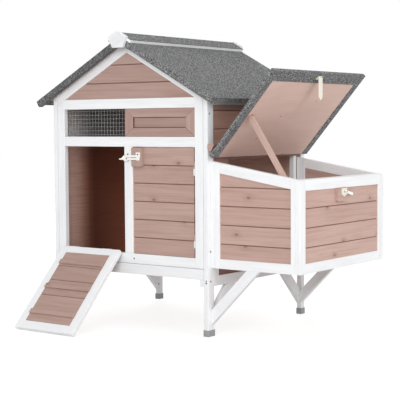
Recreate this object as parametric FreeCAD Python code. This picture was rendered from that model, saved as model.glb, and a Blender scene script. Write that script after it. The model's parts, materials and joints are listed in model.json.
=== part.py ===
import FreeCAD, Part
import math
import os

from FreeCAD import Matrix, Placement, Rotation, Vector

# Duck house on four legs: a plank-walled house with a gable roof, a nest box on its right side
# under a hinged lid, a ramp that closes the doorway, a door, a sliding shutter and a floor tray.
# Millimetres. X to the right, Y from front to back, Z up. While modelling, the front frame's
# outer face is Y = 0, the house's middle is X = 0 and the ground is Z = 0.

# House body
house_half_width = 300.0
house_depth = 526.0
stick_thick = 16.0
stick_width = 30.0
panel_gap = 1.0
front_leg_depth = 29.0
rear_leg_depth = 20.0
side_rail_low = 145.0
side_rail_high = 174.0
side_top_rail_low = 669.0
frame_low = 196.0
sill_high = 226.0
mid_rail_low = 547.0
mid_rail_high = 577.0
upper_rail_low = 661.0
upper_rail_high = 691.0
stile_inner = 254.0
centre_stile_left = -11.0
centre_stile_right = 20.0

# Tongued and grooved planks
plank_pitch = 54.4
plank_thick = 9.0
plank_chamfer = 2.6
plank_recess = 4.5
tongue_reach = 3.5
tongue_back = 3.4
tongue_front = 5.6
groove_play = 0.2
front_joint = 274.9
gable_joint = 738.5
side_joint = 598.5
nest_joint = 270.0

# Roof
roof_run = 0.546
roof_peak = 863.0
gable_peak = 829.0
roof_front = -30.0
roof_back = 556.0
roof_length = 386.5
ridge_lap = -20.0
deck_thick = 9.0
felt_thick = 1.5
roof_edge_deep = 19.0
edge_batten_width = 16.0
eave_border = 22.0
cap_board_thick = 9.0
cap_board_width = 39.5
cap_block_thick = 13.0
cap_block_top = 891.0
cap_block_bottom = 841.0
cap_block_shoulder = 34.5
cap_block_foot = 19.0

# Window and shutter
mesh_pitch = 12.0
mesh_wire = 1.5
mesh_thick = 1.0
window_lap = 8.0
window_split = -3.0
shutter_left = -10.0
shutter_right = 253.0
shutter_thick = 8.0
shutter_front = 3.0
shutter_stile = 33.0
shutter_rail = 26.0
slide_play = 0.4
slide_groove = 6.0
slide_tongue = 4.0

# Legs, caps and braces
cap_height = 19.0
cap_wall = 1.5
cap_floor = 2.0
brace_foot_low = 34.0

# Passage from the house into the nest box
passage_front = 108.0
passage_back = 462.0
passage_top = 512.0
jamb_width = 20.0
jamb_thick = 12.0

# Nest box
nest_front = 14.0
nest_back = 496.0
nest_right = 600.0
nest_low = 199.0
nest_rail_high = 227.0
nest_floor_thick = 9.0
lid_rest = 48.7
lid_closed = -9.27
lid_pivot_x = 303.0
lid_pivot_z = 521.3
lid_start = 6.0
lid_end = 327.0
lid_front = -4.0
lid_back = 512.0
lid_thick = 11.0
lid_border = 36.0
lid_side_border = 29.0
batten_low = 536.0
batten_high = 556.0
batten_thick = 23.0
batten_foot = 12.5
batten_bevel = 6.0
batten_front = -1.5
cleat_length = 24.0

# Butt hinges, all of one size, and the small hinges of the latches
hinge_length = 40.0
hinge_seat = 3.0
hinge_radius = 2.7
hinge_leaf_thick = 1.2
hinge_pin = 1.3
latch_seat = 2.0
latch_radius = 1.7
latch_leaf_thick = 1.0
latch_pin = 0.8
running_play = 0.05
knuckle_gap = 0.3
lid_hinge_places = (90.0, 418.0)
lid_hinge_width = 28.0
wall_hinge_width = 30.0
door_hinge_places = (275.0, 485.0)
door_hinge_width = 11.5
ramp_hinge_places = (-205.0, -72.0)
ramp_hinge_width = 12.0
frame_hinge_width = 14.0

# Ramp
ramp_left = -253.5
ramp_right = -20.0
ramp_thick = 14.0
ramp_under = -1.0
ramp_end = 317.0
ramp_stick = 28.0
ramp_head_stick = 24.0
ramp_pivot_y = -2.0
ramp_cleats = (57.0, 151.0, 247.0)
cleat_width = 16.0
cleat_high = 5.5
cleat_bevel = 1.0
ramp_joints = (80.0, 134.0, 191.0, 248.0)

# Door
door_left = 20.6
door_low = 227.0
door_high = 546.0
door_pivot_y = 1.5
door_batten_thick = 12.0
door_batten_inset = 6.0
door_batten_lows = (257.0, 486.0)
block_left = 20.9
block_right = 61.8
block_low = 488.0
block_high = 544.0
block_front = -6.0
block_corner = 5.0

# Tray
tray_low = 164.0
tray_high = 195.0
tray_front_thick = 12.0
tray_back = 502.0
tray_floor_thick = 4.0
tray_rim_thick = 8.0
tray_rim_high = 186.0
runner_low = 143.0

# Latches
rivet_radius = 1.6
rivet_head = 3.0
rivet_head_thick = 0.8
rivet_play = 0.4

# Door latch
latch_pivot_x = 47.5
latch_pivot_z = 510.8
latch_plate_thick = 1.5
latch_plate_left = 40.0
latch_plate_right = 55.5
latch_plate_top = 530.5
strap_left = 2.0
strap_low = 516.0
strap_high = 522.0
tab_half = 6.0
tab_low = 506.5
latch_bar_thick = 1.5
latch_bar_gap = 0.5
latch_bar_half = 2.8
latch_bar_end = 51.5
horn_start = 6.0
horn_right = -2.0
horn_left = -7.0
horn_top = 520.5
horn_waist = -12.5
horn_waist_rise = 3.6
bar_tip = -23.5
bar_tip_half = 1.2
bar_tip_bevel = 2.5
stile_catch_left = -9.0
stile_catch_right = 17.5
stile_catch_low = 504.6
stile_catch_high = 532.0
ledge_left = -5.0
ledge_right = 9.0
ledge_top = 507.4

# Lid hasp and the nest box's catch
tongue_width = 22.0
tongue_length = 69.0
tongue_point = 11.0
tongue_y = 249.0
tongue_along_lid = 316.0
hasp_plate_width = 12.0
catch_y = 257.5
catch_z = 417.0
catch_plate_thick = 1.2
catch_plate_left = 232.0
catch_plate_right = 263.0
catch_plate_shoulder = 411.0
catch_plate_point = 403.5
nest_block_thick = 5.0
nest_block_left = 211.0
nest_block_right = 269.5
nest_block_low = 390.0
nest_block_high = 428.0
nest_block_corner = 7.0
lever_arm = 38.0
lever_half = 4.0
lever_thick = 1.2
lever_droop = 13.0

# Prop stick that holds the lid open
prop_front = 32.0
prop_thick = 12.0
prop_width = 14.0
prop_along_lid = 162.3
prop_pivot_drop = 8.0
prop_reach = 210.0
prop_lean = 33.1
prop_bolt = 2.5
prop_bolt_head = 4.5
prop_bolt_head_thick = 1.2
prop_ear_half = 9.0
prop_ear_foot = 6.0
prop_ear_thick = 9.0
prop_ear_gap = 0.5

roof_angle = math.degrees(math.atan(roof_run))
inner_face = house_half_width - stick_thick
frame_side = inner_face - panel_gap
lid_top = -hinge_seat
lid_under = lid_top - lid_thick
ramp_pivot_z = sill_high + hinge_seat
ramp_top = ramp_under + ramp_thick
ramp_slope = math.degrees(math.asin(ramp_pivot_z / math.hypot(ramp_end, ramp_under))
                          - math.atan(-ramp_under / ramp_end))
door_pivot_x = stile_inner - hinge_seat
door_right = door_pivot_x - hinge_seat
latch_plate_face = block_front - latch_plate_thick
latch_bar_face = latch_plate_face - latch_bar_gap - latch_bar_thick


def block(x0, x1, y0, y1, z0, z1):
    """Box between two corners."""
    return Part.makeBox(x1 - x0, y1 - y0, z1 - z0, Vector(x0, y0, z0))


def extrude(outline, axis, start, end):
    """Prism of a closed outline along an axis; each pair gives the other two axes in X, Y, Z order."""
    if axis == "x":
        points = [Vector(start, a, b) for a, b in outline]
        direction = Vector(end - start, 0, 0)
    elif axis == "y":
        points = [Vector(a, start, b) for a, b in outline]
        direction = Vector(0, end - start, 0)
    else:
        points = [Vector(a, b, start) for a, b in outline]
        direction = Vector(0, 0, end - start)
    wire = Part.makePolygon(points + [points[0]])
    return Part.Face(wire).extrude(direction)


def group(solids):
    """One node of separate solids."""
    parts = []
    for solid in solids:
        parts.extend(solid.Solids)
    return Part.makeCompound(parts)


def fuse(shapes):
    """One solid from shapes that touch or overlap."""
    return shapes[0].multiFuse(shapes[1:]).removeSplitter()


def mirror_x(shape):
    """The same piece on the house's left side."""
    return shape.mirror(Vector(0, 0, 0), Vector(1, 0, 0))


def both_sides(shape):
    """The piece on the right and its mirror image on the left."""
    return [shape, mirror_x(shape)]


def set_in(shape, origin, x_axis, y_axis):
    """Place a piece drawn at the origin so that its X and Y follow the two given directions."""
    z_axis = x_axis.cross(y_axis)
    matrix = Matrix(x_axis.x, y_axis.x, z_axis.x, origin.x,
                    x_axis.y, y_axis.y, z_axis.y, origin.y,
                    x_axis.z, y_axis.z, z_axis.z, origin.z,
                    0, 0, 0, 1)
    placed = shape.copy()
    placed.Placement = Placement(matrix).multiply(shape.Placement)
    return placed


def roof_under(x):
    """Height of the roof deck's underside at a distance from the middle."""
    return roof_peak - roof_run * abs(x)


def joint_heights(first, low, high):
    """Heights between low and high where two planks meet."""
    count_down = int((first - low) // plank_pitch)
    height = first - count_down * plank_pitch
    heights = []
    while height < high:
        heights.append(height)
        height += plank_pitch
    return [z for z in heights if low + plank_chamfer < z < high - plank_chamfer]


def plank_outline(low, high, face, inward, grooved, tongued):
    """Section of one tongued and grooved plank as pairs of depth and height."""
    cut_low = plank_chamfer if grooved else 0.0
    cut_high = plank_chamfer if tongued else 0.0
    section = [(0, low + cut_low), (0, high - cut_high)]
    if tongued:
        section += [(plank_chamfer, high), (tongue_back, high), (tongue_back, high + tongue_reach),
                    (tongue_front, high + tongue_reach), (tongue_front, high)]
    section += [(plank_thick, high), (plank_thick, low)]
    if grooved:
        deep = low + tongue_reach + groove_play
        section += [(tongue_front + groove_play, low), (tongue_front + groove_play, deep),
                    (tongue_back - groove_play, deep), (tongue_back - groove_play, low),
                    (plank_chamfer, low)]
    return [(face + inward * depth, height) for depth, height in section]


def plank_wall(run, start, end, low, high, face, inward, heights):
    """Planks stacked between two heights, lying along an axis, with their face on one side."""
    edges = [low] + list(heights) + [high]
    planks = []
    for index in range(len(edges) - 1):
        outline = plank_outline(edges[index], edges[index + 1], face, inward,
                                index > 0, index < len(edges) - 2)
        planks.append(extrude(outline, run, start, end))
    return planks


def trimmed(planks, cutter):
    """What is left of each plank inside the cutter."""
    return [plank.common(cutter) for plank in planks]


# Hinges


def barrel(start, end, seat, radius, thick):
    """Rolled end of a hinge leaf round the X axis, with its neck down to the leaf's plate."""
    top = thick - seat
    neck = Vector(start, math.sqrt(radius ** 2 - top ** 2), top)
    foot = Vector(start, 0, -radius)
    half_way = Vector(start, -radius / math.sqrt(2), radius / math.sqrt(2))
    points = [foot, Vector(start, 0, -seat), Vector(start, seat + thick, -seat),
              Vector(start, seat + thick, top), neck]
    edges = [Part.makeLine(a, b) for a, b in zip(points[:-1], points[1:])]
    edges.append(Part.Arc(neck, half_way, foot).toShape())
    return Part.Face(Part.Wire(edges)).extrude(Vector(end - start, 0, 0))


def hinge_leaf(outline, half, seat, radius, thick):
    """Leaf of a hinge that turns about X: a plate of the given outline, a barrel on its left half."""
    return [extrude(outline, "z", -seat, thick - seat),
            barrel(-half, -knuckle_gap / 2, seat, radius, thick)]


def moving_leaf(outline, half, seat, radius, thick, pin):
    """Leaf bored for the pin; turned to face its partner, its barrel falls beside the other."""
    leaf = fuse(hinge_leaf(outline, half, seat, radius, thick))
    bore = Part.makeCylinder(pin + running_play, half, Vector(-half, 0, 0), Vector(1, 0, 0))
    return leaf.cut(bore)


def fixed_leaf(outline, half, seat, radius, thick, pin):
    """Leaf with the pin fixed in its barrel and standing out into its partner's."""
    rod = Part.makeCylinder(pin, 2 * half, Vector(-half, 0, 0), Vector(1, 0, 0))
    return fuse(hinge_leaf(outline, half, seat, radius, thick) + [rod])


def butt_leaf(width, make):
    """Leaf of one butt hinge, centred along X, made by one of the two functions above."""
    half = hinge_length / 2
    near = hinge_seat + hinge_leaf_thick / 2
    outline = [(-half, near), (half, near), (half, width), (-half, width)]
    return make(outline, half, hinge_seat, hinge_radius, hinge_leaf_thick, hinge_pin)


# House frame


def legs():
    """Corner posts: each side panel's outer stiles, run down to the ground."""
    outline = [(inner_face, cap_floor), (house_half_width, cap_floor),
               (house_half_width, roof_under(house_half_width)), (inner_face, roof_under(inner_face))]
    front = extrude(outline, "y", 0, front_leg_depth)
    back = extrude(outline, "y", house_depth - rear_leg_depth, house_depth)
    return group(both_sides(front) + both_sides(back))


def foot_caps():
    """Plastic cups on the ends of the four legs."""
    caps = []
    for front, back in ((0, front_leg_depth), (house_depth - rear_leg_depth, house_depth)):
        cup = block(inner_face - cap_wall, house_half_width + cap_wall,
                    front - cap_wall, back + cap_wall, 0, cap_height)
        leg = block(inner_face, house_half_width, front, back, cap_floor, cap_height + 1)
        caps += both_sides(cup.cut(leg))
    return group(caps)


def side_wall_rails():
    """Bottom and top rails between the legs, and the cleat under the nest box."""
    front = front_leg_depth
    back = house_depth - rear_leg_depth
    low = block(inner_face, house_half_width, front, back, side_rail_low, side_rail_high)
    outline = [(inner_face, side_top_rail_low), (house_half_width, side_top_rail_low),
               (house_half_width, roof_under(house_half_width)), (inner_face, roof_under(inner_face))]
    high = extrude(outline, "y", front, back)
    face = house_half_width - plank_recess
    cleat = block(face, house_half_width, front, front + cleat_length, side_rail_high, nest_low)
    return group(both_sides(low) + both_sides(high) + [cleat])


def side_planks():
    """Planks of one side wall, drawn on the right."""
    heights = joint_heights(side_joint, side_rail_high, side_top_rail_low)
    return plank_wall("y", front_leg_depth, house_depth - rear_leg_depth, side_rail_high,
                      side_top_rail_low, house_half_width - plank_recess, -1, heights)


def right_wall_planks():
    """Right wall planks round the passage, the cut ones ripped along the passage's top and sill."""
    low = sill_high
    high = passage_top
    inside = house_half_width - plank_recess - plank_thick - 1
    passage = block(inside, house_half_width, passage_front, passage_back + stick_thick, low, high)
    planks = []
    for plank in side_planks():
        for z0, z1 in ((0, low), (low, high), (high, roof_peak)):
            strip = plank.common(block(inside, house_half_width, 0, house_depth, z0, z1))
            planks += strip.cut(passage).Solids if z0 == low else strip.Solids
    return group(planks)


def passage_frame():
    """Uprights at both sides of the passage: a flush jamb behind, a batten inside in front."""
    jamb = block(inner_face, house_half_width, passage_back, passage_back + stick_thick,
                 sill_high, passage_top)
    inside = house_half_width - plank_recess - plank_thick
    batten = block(inside - jamb_thick, inside, passage_front - jamb_width, passage_front,
                   sill_high - jamb_width, passage_top + jamb_width)
    return group([jamb, batten])


def outer_stiles(front, back):
    """Uprights against the side panels, cut to the slope under the rakes."""
    outline = [(stile_inner, frame_low), (frame_side, frame_low),
               (frame_side, gable_peak - roof_run * frame_side),
               (stile_inner, gable_peak - roof_run * stile_inner)]
    return both_sides(extrude(outline, "y", front, back))


def slide_rebate(low, high):
    """Groove along the window opening in which a tongue of the shutter runs."""
    front = shutter_front + (shutter_thick - slide_tongue) / 2 - slide_play / 2
    return block(-stile_inner, stile_inner, front, front + slide_tongue + slide_play, low, high)


def front_rails():
    """Sill, mid and upper rail of the front frame; two of them carry the shutter's grooves."""
    sill = block(-stile_inner, stile_inner, 0, stick_thick, frame_low, sill_high)
    middle = block(-stile_inner, stile_inner, 0, stick_thick, mid_rail_low, mid_rail_high)
    upper = block(-stile_inner, stile_inner, 0, stick_thick, upper_rail_low, upper_rail_high)
    middle = middle.cut(slide_rebate(mid_rail_high - slide_groove, mid_rail_high))
    upper = upper.cut(slide_rebate(upper_rail_low, upper_rail_low + slide_groove))
    return group([sill, middle, upper])


def rake(front, back):
    """Sloping stick under one roof half along the gable."""
    outline = [(0, gable_peak), (frame_side, gable_peak - roof_run * frame_side),
               (frame_side, roof_under(frame_side)), (0, roof_peak)]
    return extrude(outline, "y", front, back)


def gable_triangle(front, back):
    """Space between the rakes and the upper rail."""
    half = (gable_peak - upper_rail_high) / roof_run
    return extrude([(-half, upper_rail_high), (half, upper_rail_high), (0, gable_peak)], "y", front, back)


def gable_planks(face, inward):
    """Horizontal planks that fill one gable."""
    planks = plank_wall("x", -house_half_width, house_half_width, upper_rail_high, gable_peak,
                        face, inward, joint_heights(gable_joint, upper_rail_high, gable_peak))
    return trimmed(planks, gable_triangle(min(face, face + inward * plank_thick) - 1,
                                          max(face, face + inward * plank_thick) + 1))


def rear_frame():
    """Uprights and rails of the back wall."""
    front = house_depth - stick_thick
    sticks = outer_stiles(front, house_depth)
    for low, high in ((frame_low, sill_high), (upper_rail_low, upper_rail_high)):
        sticks.append(block(-stile_inner, stile_inner, front, house_depth, low, high))
    return group(sticks)


def rear_planks():
    """Planks of the back wall and its gable."""
    face = house_depth - plank_recess
    wall = plank_wall("x", -stile_inner, stile_inner, sill_high, upper_rail_low, face, -1,
                      joint_heights(front_joint, sill_high, upper_rail_low))
    return group(wall + gable_planks(face, -1))


def window_mesh():
    """Square wire mesh stapled behind the left half of the window."""
    left = -stile_inner - window_lap
    low = mid_rail_high - window_lap
    high = upper_rail_low + window_lap
    sheet = block(left, window_split, stick_thick, stick_thick + mesh_thick, low, high)
    hole = mesh_pitch - mesh_wire
    columns = int((window_split - left - mesh_wire) // mesh_pitch)
    rows = int((high - low - mesh_wire) // mesh_pitch)
    start_x = (left + window_split - columns * mesh_pitch + mesh_wire) / 2
    start_z = (low + high - rows * mesh_pitch + mesh_wire) / 2
    holes = []
    for column in range(columns):
        for row in range(rows):
            x = start_x + column * mesh_pitch
            z = start_z + row * mesh_pitch
            holes.append(block(x, x + hole, stick_thick - 1, stick_thick + mesh_thick + 1, z, z + hole))
    return sheet.cut(Part.makeCompound(holes))


def window_board():
    """Board behind the right half of the window, where the shutter rests."""
    return block(window_split + 0.5, stile_inner + window_lap, stick_thick, stick_thick + plank_thick,
                 mid_rail_high - window_lap, upper_rail_low + window_lap)


# Roof


def on_slope(shape):
    """Turn a piece drawn flat from the ridge outwards down onto the right roof slope."""
    turned = shape.copy()
    turned.Placement = Placement(Vector(0, 0, roof_peak), Rotation(Vector(0, 1, 0), roof_angle))
    half = block(0, 2 * house_half_width, roof_front - 50, roof_back + 50, 0, 2 * roof_peak)
    return turned.common(half)


def roof_deck():
    """Right roof board under the felt."""
    return on_slope(block(ridge_lap, roof_length - felt_thick, roof_front + felt_thick,
                          roof_back - felt_thick, 0, deck_thick))


def roof_felt():
    """Felt on the right slope, wrapped round the eave and both gable edges."""
    under = deck_thick + felt_thick - roof_edge_deep
    lap = edge_batten_width + felt_thick
    shapes = [block(ridge_lap, roof_length, roof_front, roof_back, deck_thick, deck_thick + felt_thick),
              block(roof_length - felt_thick, roof_length, roof_front, roof_back,
                    -felt_thick, deck_thick + felt_thick),
              block(roof_length - eave_border, roof_length, roof_front, roof_back, -felt_thick, 0)]
    for edge, inner, skirt in ((roof_front, roof_front + lap, roof_front + felt_thick),
                               (roof_back, roof_back - lap, roof_back - felt_thick)):
        low_y, high_y = min(edge, skirt), max(edge, skirt)
        shapes.append(block(ridge_lap, roof_length, low_y, high_y, under, deck_thick + felt_thick))
        low_y, high_y = min(edge, inner), max(edge, inner)
        shapes.append(block(ridge_lap, roof_length, low_y, high_y, under, under + felt_thick))
        shapes.append(block(roof_length - felt_thick, roof_length, low_y, high_y, under, 0))
    felt = fuse(shapes)
    battens = fuse([flat_edge_batten(edge) for edge in (roof_front, roof_back)] + [
        block(ridge_lap, roof_length - felt_thick, roof_front + felt_thick,
              roof_back - felt_thick, 0, deck_thick)])
    return on_slope(felt.cut(battens))


def flat_edge_batten(edge):
    """Batten under the roof board along one gable edge, before it is turned onto the slope."""
    under = deck_thick + 2 * felt_thick - roof_edge_deep
    inward = 1 if edge == roof_front else -1
    start = edge + inward * felt_thick
    end = start + inward * edge_batten_width
    return block(ridge_lap, roof_length - felt_thick, min(start, end), max(start, end), under, 0)


def roof_edge_battens():
    """Battens that stiffen the gable edges of both slopes."""
    battens = []
    for edge in (roof_front, roof_back):
        battens += both_sides(on_slope(flat_edge_batten(edge)))
    return group(battens)


def cap_layer(low, high):
    """One layer of the ridge cap on both slopes, above the roof felt."""
    strip = block(ridge_lap, cap_board_width, roof_front, roof_back, low, high)
    return both_sides(on_slope(strip))


def ridge_cap_end_blocks():
    """Five-sided blocks that close the ridge cap in front and behind."""
    shoulder = cap_block_top - roof_run * cap_block_shoulder
    outline = [(0, cap_block_top), (cap_block_shoulder, shoulder), (cap_block_foot, cap_block_bottom),
               (-cap_block_foot, cap_block_bottom), (-cap_block_shoulder, shoulder)]
    return group([extrude(outline, "y", roof_front - cap_block_thick, roof_front),
                  extrude(outline, "y", roof_back, roof_back + cap_block_thick)])


# Braces


def leg_brace():
    """Brace from the right front leg to the side rail, in the side panel's plane."""
    rise = side_rail_low - brace_foot_low
    upright = stick_width * math.sqrt(2)
    front = front_leg_depth
    outline = [(front, brace_foot_low), (front + rise, side_rail_low),
               (front + rise - upright, side_rail_low), (front, brace_foot_low + upright)]
    return extrude(outline, "x", inner_face, house_half_width)


def leg_braces():
    """The four braces of the side panels."""
    front = leg_brace()
    middle = (front_leg_depth + house_depth - rear_leg_depth) / 2
    back = front.mirror(Vector(0, middle, 0), Vector(0, 1, 0))
    return group(both_sides(front) + both_sides(back))


def nest_braces():
    """Braces from the right legs out to the nest box, the rear one lapped behind its wall."""
    upright = stick_width * math.sqrt(2)
    side = house_half_width
    sticks = []
    for front, top in ((nest_front, nest_low), (nest_back, nest_rail_high)):
        rise = top - brace_foot_low
        outline = [(side, brace_foot_low), (side + rise, top),
                   (side + rise - upright, top), (side, brace_foot_low + upright)]
        sticks.append(extrude(outline, "y", front, front + stick_thick))
    return group(sticks)


# Nest box


def nest_top(x):
    """Height of the nest box's sloping rim."""
    run = math.tan(math.radians(lid_closed))
    drop = lid_thick + hinge_seat
    return lid_pivot_z + (x - lid_pivot_x) * run - drop / math.cos(math.radians(lid_closed))


def nest_side_frame(front, back):
    """Stiles and rails of one side wall of the nest box."""
    left = house_half_width
    near = left + stick_width
    right = nest_right - stick_width
    end = nest_right - stick_thick
    sticks = [block(near, right, front, back, nest_low, nest_rail_high)]
    for x0, x1 in ((left, near), (right, end)):
        outline = [(x0, nest_low), (x1, nest_low), (x1, nest_top(x1)), (x0, nest_top(x0))]
        sticks.append(extrude(outline, "y", front, back))
    sticks.append(extrude([(near, nest_top(near) - stick_width), (right, nest_top(right) - stick_width),
                           (right, nest_top(right)), (near, nest_top(near))], "y", front, back))
    return sticks


def nest_frame():
    """Sticks of the nest box's three walls."""
    sticks = nest_side_frame(nest_front, nest_front + stick_thick)
    sticks += nest_side_frame(nest_back - stick_thick, nest_back)
    inner = nest_right - stick_thick
    for front in (nest_front, nest_back - stick_width):
        outline = [(inner, nest_low), (nest_right, nest_low),
                   (nest_right, nest_top(nest_right)), (inner, nest_top(inner))]
        sticks.append(extrude(outline, "y", front, front + stick_width))
    front = nest_front + stick_width
    back = nest_back - stick_width
    sticks.append(block(inner, nest_right, front, back, nest_low, nest_rail_high))
    low = nest_top(nest_right) - stick_width
    outline = [(inner, low), (nest_right, low), (nest_right, nest_top(nest_right)), (inner, nest_top(inner))]
    sticks.append(extrude(outline, "y", front, back))
    return group(sticks)


def nest_side_planks():
    """Planks of the nest box's two side walls, cut to the slope under the top rail."""
    near = house_half_width + stick_width
    right = nest_right - stick_width
    high = nest_top(near) - stick_width
    planks = []
    for face, inward in ((nest_front + plank_recess, 1), (nest_back - plank_recess, -1)):
        wall = plank_wall("x", near, right, nest_rail_high, high, face, inward,
                          joint_heights(nest_joint, nest_rail_high, high))
        outline = [(near, nest_rail_high), (right, nest_rail_high),
                   (right, nest_top(right) - stick_width), (near, high)]
        planks += trimmed(wall, extrude(outline, "y", nest_front, nest_back))
    return group(planks)


def nest_end_planks():
    """Planks of the nest box's end wall."""
    high = nest_top(nest_right) - stick_width
    wall = plank_wall("y", nest_front + stick_width, nest_back - stick_width, nest_rail_high, high,
                      nest_right - plank_recess, -1, joint_heights(nest_joint, nest_rail_high, high))
    return group(wall)


def nest_floor():
    """Board inside the nest box, on its bottom rails' line."""
    return block(house_half_width, nest_right - stick_thick, nest_front + stick_thick,
                 nest_back - stick_thick, nest_low, nest_low + nest_floor_thick)


def hinge_batten():
    """Bevelled batten over the lid's hinges, with a pocket behind it for each wall leaf."""
    wall = house_half_width
    outline = [(wall, batten_high), (wall, batten_low + batten_bevel), (wall + batten_bevel, batten_low),
               (wall + batten_foot, batten_low), (wall + batten_thick, batten_high)]
    batten = extrude(outline, "y", batten_front, lid_back)
    for place in lid_hinge_places:
        half = hinge_length / 2 + knuckle_gap
        batten = batten.cut(block(wall, wall + hinge_leaf_thick, place - half, place + half,
                                  batten_low, batten_high))
    return batten


# Lid, drawn flat with its hinge axis on Y at the origin, then turned up to its rest angle


def on_lid(shape):
    """Turn a piece drawn on the flat lid to where the open lid holds it."""
    turned = shape.copy()
    turned.Placement = Placement(Vector(lid_pivot_x, 0, lid_pivot_z),
                                 Rotation(Vector(0, 1, 0), -lid_rest)).multiply(shape.Placement)
    return turned


def lid_board():
    """The lid's board inside its felt."""
    return block(lid_start, lid_end - felt_thick, lid_front + felt_thick, lid_back - felt_thick,
                 lid_under + felt_thick, lid_top - felt_thick)


def lid_felt():
    """Felt on the lid, wrapped round its three free edges to a border underneath."""
    wrap = block(lid_start, lid_end, lid_front, lid_back, lid_under, lid_top).cut(lid_board())
    window = block(lid_start, lid_end - lid_border, lid_front + lid_side_border,
                   lid_back - lid_side_border, lid_under, lid_under + felt_thick)
    return on_lid(wrap.cut(window))


def lid_hinge_leaves():
    """Moving leaves of the lid hinges, screwed down on the felt."""
    leaf = butt_leaf(lid_hinge_width, moving_leaf)
    leaves = [set_in(leaf, Vector(0, place, 0), Vector(0, -1, 0), Vector(1, 0, 0))
              for place in lid_hinge_places]
    return group([on_lid(leaf) for leaf in leaves])


# Latches


def hasp_plate(height):
    """Fixed half of a hasp: a small plate with two outer barrels that turn about X."""
    half = tongue_width / 2
    near = latch_seat + latch_leaf_thick / 2
    outline = [(-half, near), (half, near), (half, height), (-half, height)]
    return fixed_leaf(outline, half, latch_seat, latch_radius, latch_leaf_thick, latch_pin)


def hasp_tongue(length):
    """Moving half of a hasp: a strip that ends in a point, with one barrel."""
    half = tongue_width / 2
    near = latch_seat + latch_leaf_thick / 2
    outline = [(-half, near), (half, near), (half, length - tongue_point), (0, length),
               (-half, length - tongue_point)]
    return moving_leaf(outline, half, latch_seat, latch_radius, latch_leaf_thick, latch_pin)


def lever():
    """Catch lever, flat on XY and turning about its rivet at the origin."""
    tip = lever_arm - lever_half
    edges = [Part.Arc(Vector(0, lever_half, 0), Vector(-lever_half, 0, 0),
                      Vector(0, -lever_half, 0)).toShape(),
             Part.makeLine(Vector(0, -lever_half, 0), Vector(tip, -lever_half, 0)),
             Part.Arc(Vector(tip, -lever_half, 0), Vector(lever_arm, 0, 0),
                      Vector(tip, lever_half, 0)).toShape(),
             Part.makeLine(Vector(tip, lever_half, 0), Vector(0, lever_half, 0))]
    plate = Part.Face(Part.Wire(edges)).extrude(Vector(0, 0, lever_thick))
    hole = Part.makeCylinder(rivet_radius + running_play, lever_thick + 2, Vector(0, 0, -1))
    return plate.cut(hole)


def rivet(start, end):
    """Rivet on Z from start, with its head beyond end."""
    stem = Part.makeCylinder(rivet_radius, end - start + rivet_play, Vector(0, 0, start))
    head = Part.makeCylinder(rivet_head, rivet_head_thick, Vector(0, 0, end + rivet_play))
    return fuse([stem, head])


# Ramp, drawn flat: Y from the hinge axis outwards, Z up from it; then turned down to rest


def on_ramp(shape):
    """Turn a piece drawn on the flat ramp down onto its rest slope in front of the sill."""
    turned = shape.copy()
    tilt = Placement(Vector(0, ramp_pivot_y, ramp_pivot_z), Rotation(Vector(1, 0, 0), ramp_slope))
    turned.Placement = tilt.multiply(shape.Placement)
    return turned


def ramp_block(x0, x1, out0, out1, z0, z1):
    """Box on the flat ramp, measured outwards from the hinge."""
    return block(x0, x1, -out1, -out0, z0, z1)


def ramp_frame():
    """Two long and two short sticks round the ramp's planks."""
    left = ramp_left
    right = ramp_right
    start = hinge_seat
    low = ramp_under
    high = ramp_top
    sticks = [ramp_block(left, left + ramp_stick, start, ramp_end, low, high),
              ramp_block(right - ramp_stick, right, start, ramp_end, low, high),
              ramp_block(left + ramp_stick, right - ramp_stick, start, start + ramp_head_stick, low, high),
              ramp_block(left + ramp_stick, right - ramp_stick, ramp_end - ramp_stick, ramp_end, low, high)]
    return group([on_ramp(stick) for stick in sticks])


def ramp_planks():
    """Planks across the ramp, their face flush with its frame."""
    start = hinge_seat + ramp_head_stick
    end = ramp_end - ramp_stick
    edges = [start] + list(ramp_joints) + [end]
    planks = []
    for near, far in zip(edges[:-1], edges[1:]):
        outline = [(-near, ramp_top - plank_thick), (-near, ramp_top - plank_chamfer),
                   (-near - plank_chamfer / 2, ramp_top), (-far + plank_chamfer / 2, ramp_top),
                   (-far, ramp_top - plank_chamfer), (-far, ramp_top - plank_thick)]
        planks.append(extrude(outline, "x", ramp_left + ramp_stick, ramp_right - ramp_stick))
    return group([on_ramp(plank) for plank in planks])


def ramp_cleat_bars():
    """Cross bars on the ramp's planks, between its two long sticks."""
    top = ramp_top + cleat_high
    bars = []
    for near in ramp_cleats:
        far = near + cleat_width
        outline = [(-near, ramp_top), (-near, top - cleat_bevel), (-near - cleat_bevel, top),
                   (-far + cleat_bevel, top), (-far, top - cleat_bevel), (-far, ramp_top)]
        bars.append(on_ramp(extrude(outline, "x", ramp_left + ramp_stick, ramp_right - ramp_stick)))
    return group(bars)


def ramp_hinge_leaves():
    """Moving leaves on the ramp's upper end."""
    leaf = butt_leaf(ramp_hinge_width, moving_leaf)
    leaves = [set_in(leaf, Vector(place, 0, 0), Vector(-1, 0, 0), Vector(0, 0, 1))
              for place in ramp_hinge_places]
    return group([on_ramp(leaf) for leaf in leaves])


def fixed_hinge_leaves():
    """Leaves on the sill, on the right stile and on the wall over the nest box."""
    frame_leaf = butt_leaf(frame_hinge_width, fixed_leaf)
    wall_leaf = butt_leaf(wall_hinge_width, fixed_leaf)
    leaves = [set_in(frame_leaf, Vector(place, ramp_pivot_y, ramp_pivot_z), Vector(1, 0, 0), Vector(0, 1, 0))
              for place in ramp_hinge_places]
    leaves += [set_in(frame_leaf, Vector(door_pivot_x, door_pivot_y, place), Vector(0, 0, 1), Vector(0, 1, 0))
               for place in door_hinge_places]
    leaves += [set_in(wall_leaf, Vector(lid_pivot_x, place, lid_pivot_z), Vector(0, 1, 0), Vector(0, 0, 1))
               for place in lid_hinge_places]
    return group(leaves)


# Door


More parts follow.
